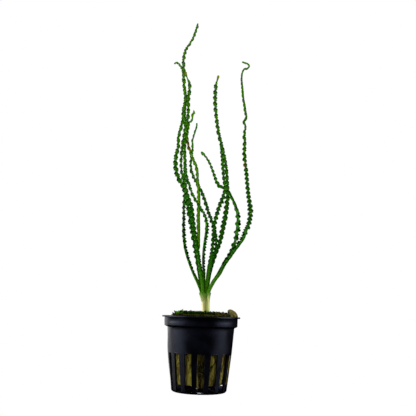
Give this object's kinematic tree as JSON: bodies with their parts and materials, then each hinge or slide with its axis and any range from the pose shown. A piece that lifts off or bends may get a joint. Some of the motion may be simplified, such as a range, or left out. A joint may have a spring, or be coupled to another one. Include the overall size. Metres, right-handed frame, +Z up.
{
  "type": "potted crinum calamistratum",
  "caption": "Rooted water plant with long narrow crisped leaves on a pale neck, in mineral wool with moss, in a black slotted grower's pot.",
  "frame": {"origin": "middle of the pot's flat underside, on the surface that it stands on", "axes": "+Z up along the pot's axis, -Y to the front of the picture, +X to the right as seen from the front"},
  "size_m": [0.0619, 0.0545, 0.2663],
  "materials": {
    "pot_plastic": "black moulded plastic with a soft gloss",
    "mineral_wool": "wet mineral wool stained olive and brown, matt and fibrous",
    "moss": "dark wet moss with fine leaflets, matt",
    "leaf_sheath": "pale smooth leaf bases, cream at the left and pale green at the right, satin",
    "leaf": "thick green leaf with a paler midrib and dark crisped edges, satin",
    "young_leaf": "thick yellow-green leaf with crisped edges, satin"
  },
  "bodies": {
    "root": {"pot": "pot_plastic", "wool_plug": "mineral_wool", "wool_flap": "mineral_wool", "moss": "moss", "neck": "leaf_sheath", "leaf_right_tall": "leaf", "leaf_right_bent": "leaf", "leaf_middle_tall": "leaf", "leaf_middle_short": "leaf", "leaf_inner_curved": "leaf", "leaf_inner_tall": "leaf", "leaf_bright": "young_leaf", "leaf_front_left": "leaf", "leaf_tallest": "leaf", "leaf_far_left": "leaf"}
  },
  "joints": []
}
